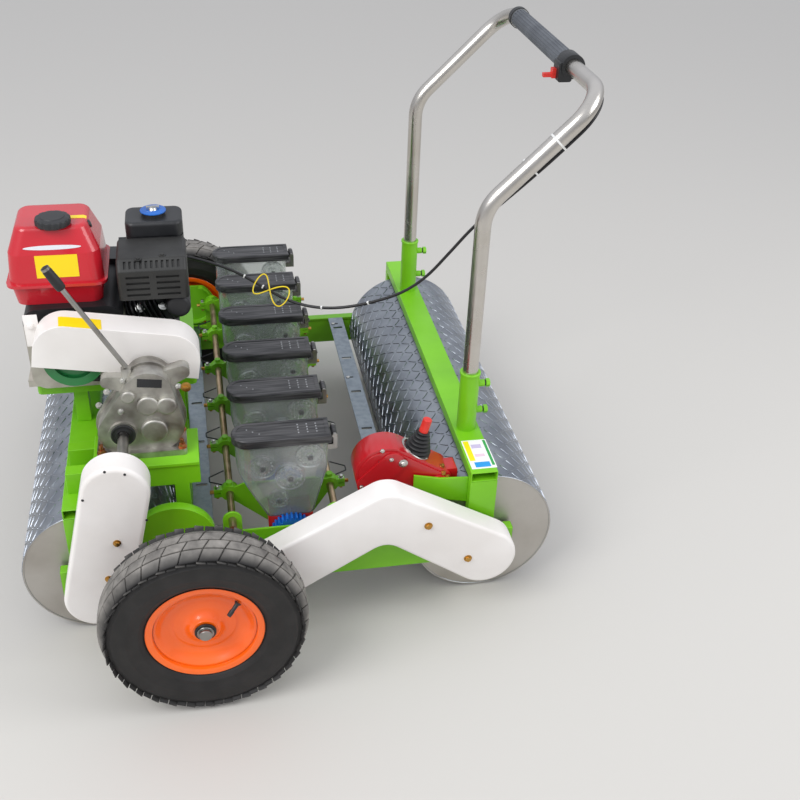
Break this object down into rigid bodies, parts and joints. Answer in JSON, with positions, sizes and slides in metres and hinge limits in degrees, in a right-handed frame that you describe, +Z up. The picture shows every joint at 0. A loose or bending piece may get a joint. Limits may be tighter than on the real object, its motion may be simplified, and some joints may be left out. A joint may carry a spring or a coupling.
{
  "type": "self-propelled precision vegetable seeder",
  "caption": "Walk-behind motor seeder with two press rollers, side wheels, clear lidded seed hoppers on rods, an engine and gearbox in front and a bent tube handle.",
  "frame": {"origin": "on the ground, under the centre of the whole machine's bounding box", "axes": "+X forward towards the engine end, +Y to the machine's left, +Z up"},
  "size_m": [1.227, 1.3904, 1.13],
  "materials": {
    "green_paint": "gloss",
    "white_paint": "gloss",
    "orange_paint": "gloss",
    "red_paint": "gloss",
    "black_paint": "satin",
    "zinc_plate": "galvanised",
    "grey_steel": "satin",
    "polished_steel": "polished",
    "cast_iron": "rough",
    "cast_aluminium": "cast",
    "tyre_rubber": "matte",
    "grip_rubber": "matte",
    "belt_rubber": "matte",
    "boot_rubber": "matte",
    "black_plastic": "satin",
    "lid_plastic": "grained",
    "red_plastic": "gloss",
    "blue_plastic": "gloss",
    "black_wire": "satin",
    "clear_plastic": "clear",
    "cable_sheath": "satin"
  },
  "bodies": {
    "machine": {"side_beams": "green_paint", "cross_beams": "green_paint", "frame_legs": "green_paint", "scraper_strips": "zinc_plate", "round_plates": "green_paint", "wheel_mounts": "green_paint", "roller_bearings": "cast_iron", "front_chain_case": "white_paint", "rear_chain_case": "white_paint", "handlebar": "polished_steel", "handle_sockets": "green_paint", "hand_grip": "grip_rubber", "throttle_housing": "black_plastic", "throttle_lever": "red_plastic", "grip_clamp": "black_plastic", "row_rods": "zinc_plate", "rod_end_plates": "green_paint", "row_shaft": "grey_steel", "seed_hoppers": "clear_plastic", "lid_hinges": "grey_steel", "row_plates": "green_paint", "seed_housings": "red_plastic", "furrow_openers": "grey_steel", "row_gears": "blue_plastic", "seed_discs": "clear_plastic", "engine_deck": "green_paint", "deck_posts": "green_paint", "engine_block": "cast_aluminium", "fuel_tank": "red_paint", "fuel_cap": "black_plastic", "recoil_starter": "black_plastic", "muffler_guard": "black_paint", "air_cleaner": "black_plastic", "belt_guard": "white_paint", "belt_pulleys": "green_paint", "drive_belt": "belt_rubber", "gearbox_seat": "green_paint", "gearbox": "cast_aluminium", "gearbox_lever": "grey_steel", "gearbox_output_shaft": "grey_steel", "row_wires": "black_wire", "spacing_gearbox": "red_paint", "spacing_bracket": "green_paint", "spacing_lever_boot": "boot_rubber", "spacing_lever": "red_plastic", "control_cable": "cable_sheath"},
    "left_wheel": {"left_tyre": "tyre_rubber", "left_rim": "orange_paint"},
    "right_wheel": {"right_tyre": "tyre_rubber", "right_rim": "orange_paint"},
    "front_roller": {"front_roller_drum": "zinc_plate", "front_roller_shaft": "grey_steel"},
    "rear_roller": {"rear_roller_drum": "zinc_plate", "rear_roller_shaft": "grey_steel"},
    "lid_1": {"hopper_lid_1": "lid_plastic"},
    "lid_2": {"hopper_lid_2": "lid_plastic"},
    "lid_3": {"hopper_lid_3": "lid_plastic"},
    "lid_4": {"hopper_lid_4": "lid_plastic"},
    "lid_5": {"hopper_lid_5": "lid_plastic"},
    "lid_6": {"hopper_lid_6": "lid_plastic"}
  },
  "joints": [
    {"name": "left_wheel_spin", "type": "hinge", "parent": "machine", "child": "left_wheel", "pos_m": [0.2415, 0.6425, 0.205], "axis": [0, 1, 0], "continuous": true},
    {"name": "right_wheel_spin", "type": "hinge", "parent": "machine", "child": "right_wheel", "pos_m": [0.2415, -0.6425, 0.205], "axis": [0, 1, 0], "continuous": true},
    {"name": "front_roller_spin", "type": "hinge", "parent": "machine", "child": "front_roller", "pos_m": [0.4535, -0.0575, 0.16], "axis": [0, 1, 0], "continuous": true},
    {"name": "rear_roller_spin", "type": "hinge", "parent": "machine", "child": "rear_roller", "pos_m": [-0.3855, -0.0575, 0.16], "axis": [0, 1, 0], "continuous": true},
    {"name": "lid_1_hinge", "type": "hinge", "parent": "machine", "child": "lid_1", "pos_m": [-0.0515, 0.37, 0.4385], "axis": [0, -1, 0], "range_deg": [0, 110]},
    {"name": "lid_2_hinge", "type": "hinge", "parent": "machine", "child": "lid_2", "pos_m": [-0.0515, 0.199, 0.4385], "axis": [0, -1, 0], "range_deg": [0, 110]},
    {"name": "lid_3_hinge", "type": "hinge", "parent": "machine", "child": "lid_3", "pos_m": [-0.0515, 0.028, 0.4385], "axis": [0, -1, 0], "range_deg": [0, 110]},
    {"name": "lid_4_hinge", "type": "hinge", "parent": "machine", "child": "lid_4", "pos_m": [-0.0515, -0.143, 0.4385], "axis": [0, -1, 0], "range_deg": [0, 110]},
    {"name": "lid_5_hinge", "type": "hinge", "parent": "machine", "child": "lid_5", "pos_m": [-0.0515, -0.314, 0.4385], "axis": [0, -1, 0], "range_deg": [0, 110]},
    {"name": "lid_6_hinge", "type": "hinge", "parent": "machine", "child": "lid_6", "pos_m": [-0.0515, -0.485, 0.4385], "axis": [0, -1, 0], "range_deg": [0, 110]}
  ]
}
